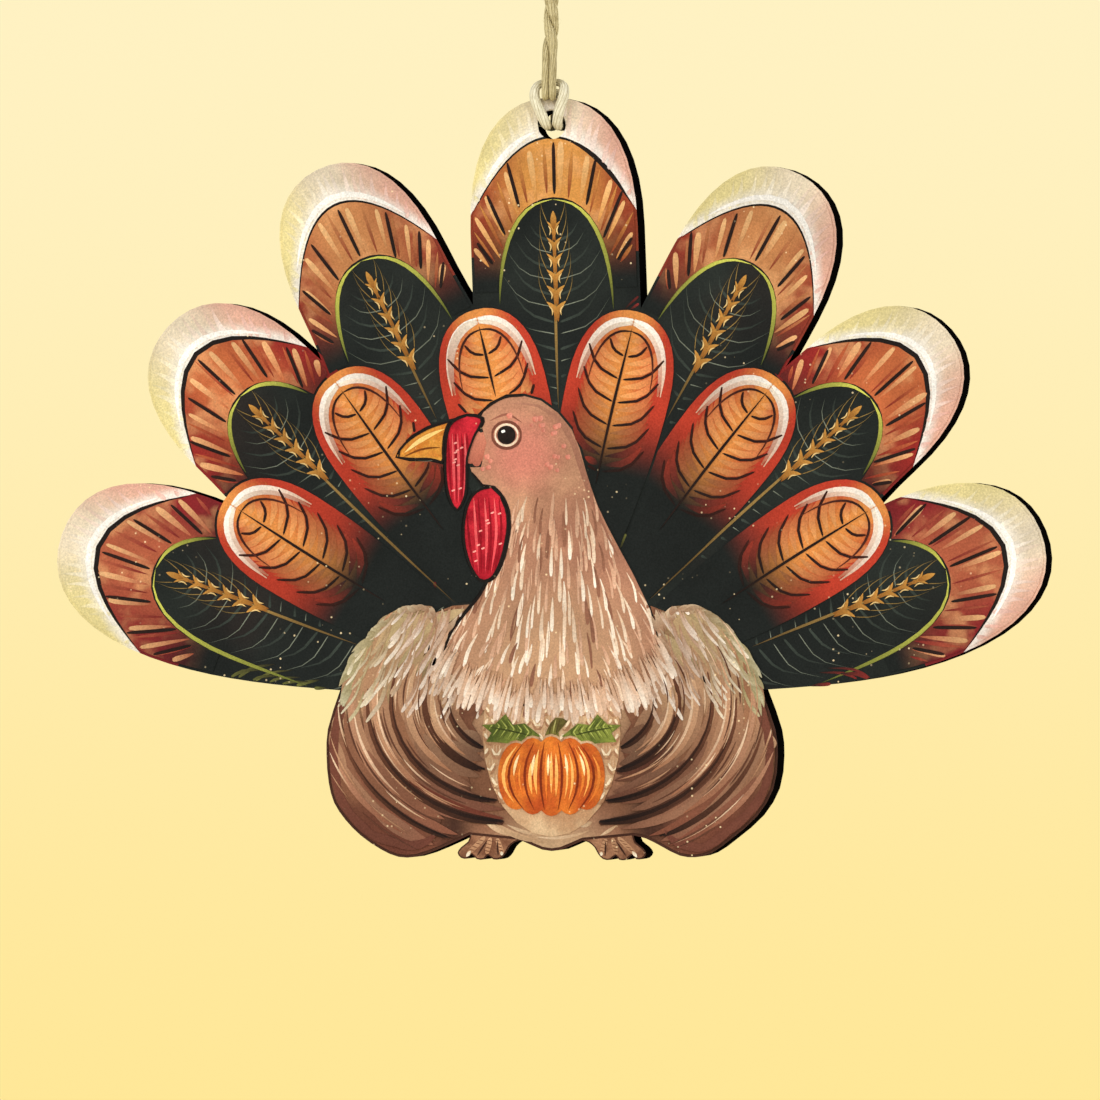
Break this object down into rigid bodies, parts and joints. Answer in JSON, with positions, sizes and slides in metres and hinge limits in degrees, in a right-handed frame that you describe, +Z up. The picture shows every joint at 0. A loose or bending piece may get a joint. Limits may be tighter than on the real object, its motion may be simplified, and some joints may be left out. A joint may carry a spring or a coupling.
{
  "type": "hanging turkey plaque",
  "caption": "Flat wooden turkey cut-out with a printed face, hung by a doubled twine loop through a hole in its middle tail feather.",
  "frame": {"origin": "inner top of the twine loop, where a hook or a twig holds the plaque", "axes": "+Z up, +X to the right of the printed face, +Y out of the back; the printed face looks along -Y"},
  "size_m": [0.1406, 0.0094, 0.174],
  "materials": {
    "board": "sawn wood-based board, charred black on its cut edges",
    "print_ground": "dark green-black ground of the print, satin",
    "print_cream": "cream feather tips, satin",
    "print_rust": "rust feather bands, satin",
    "print_orange": "orange short feathers, satin",
    "print_tan": "tan head and feet, satin",
    "print_brown": "brown body, satin",
    "print_umber": "dark brown wings, satin",
    "print_buff": "buff breast, satin",
    "print_gold": "gold beak, satin",
    "print_red": "red wattle and snood, satin",
    "print_black": "black eye, satin",
    "print_pumpkin": "orange pumpkin, satin",
    "print_leaf": "olive leaves and stalk, satin",
    "twine": "pale tan two-strand jute twine"
  },
  "bodies": {
    "hanger_top": {"twine_crown": "twine", "twine_knot": "twine", "twine_tail_left": "twine", "twine_tail_right": "twine"},
    "hanger_strands": {"twine_left": "twine", "twine_right": "twine"},
    "hitch": {"twine_hitch": "twine"},
    "plaque": {"board": "board", "print_band_centre": "print_rust", "print_band_high_left": "print_rust", "print_band_high_right": "print_rust", "print_band_low_left": "print_rust", "print_band_low_right": "print_rust", "print_band_mid_left": "print_rust", "print_band_mid_right": "print_rust", "print_beak": "print_gold", "print_body": "print_brown", "print_breast": "print_buff", "print_cap_centre": "print_cream", "print_cap_high_left": "print_cream", "print_cap_high_right": "print_cream", "print_cap_low_left": "print_cream", "print_cap_low_right": "print_cream", "print_cap_mid_left": "print_cream", "print_cap_mid_right": "print_cream", "print_covert_1": "print_orange", "print_covert_2": "print_orange", "print_covert_3": "print_orange", "print_covert_4": "print_orange", "print_covert_5": "print_orange", "print_covert_6": "print_orange", "print_eye": "print_black", "print_foot_left": "print_tan", "print_foot_right": "print_tan", "print_ground": "print_ground", "print_head": "print_tan", "print_leaf_left": "print_leaf", "print_leaf_right": "print_leaf", "print_pumpkin": "print_pumpkin", "print_snood": "print_red", "print_stalk": "print_leaf", "print_wattle": "print_red", "print_wing_left": "print_umber", "print_wing_right": "print_umber"}
  },
  "joints": [
    {"name": "swing", "type": "hinge", "parent": "hanger_top", "child": "hanger_strands", "pos_m": [0, 0, -0.0055], "axis": [1, 0, 0], "range_deg": [-40, 40]},
    {"name": "turn", "type": "hinge", "parent": "hanger_strands", "child": "hitch", "pos_m": [0, -0.0037, -0.0435], "axis": [0, 0, 1], "range_deg": [-180, 180]},
    {"name": "rock", "type": "hinge", "parent": "hitch", "child": "plaque", "pos_m": [0, 0, -0.0575], "axis": [0, 1, 0], "range_deg": [-8, 8]}
  ]
}
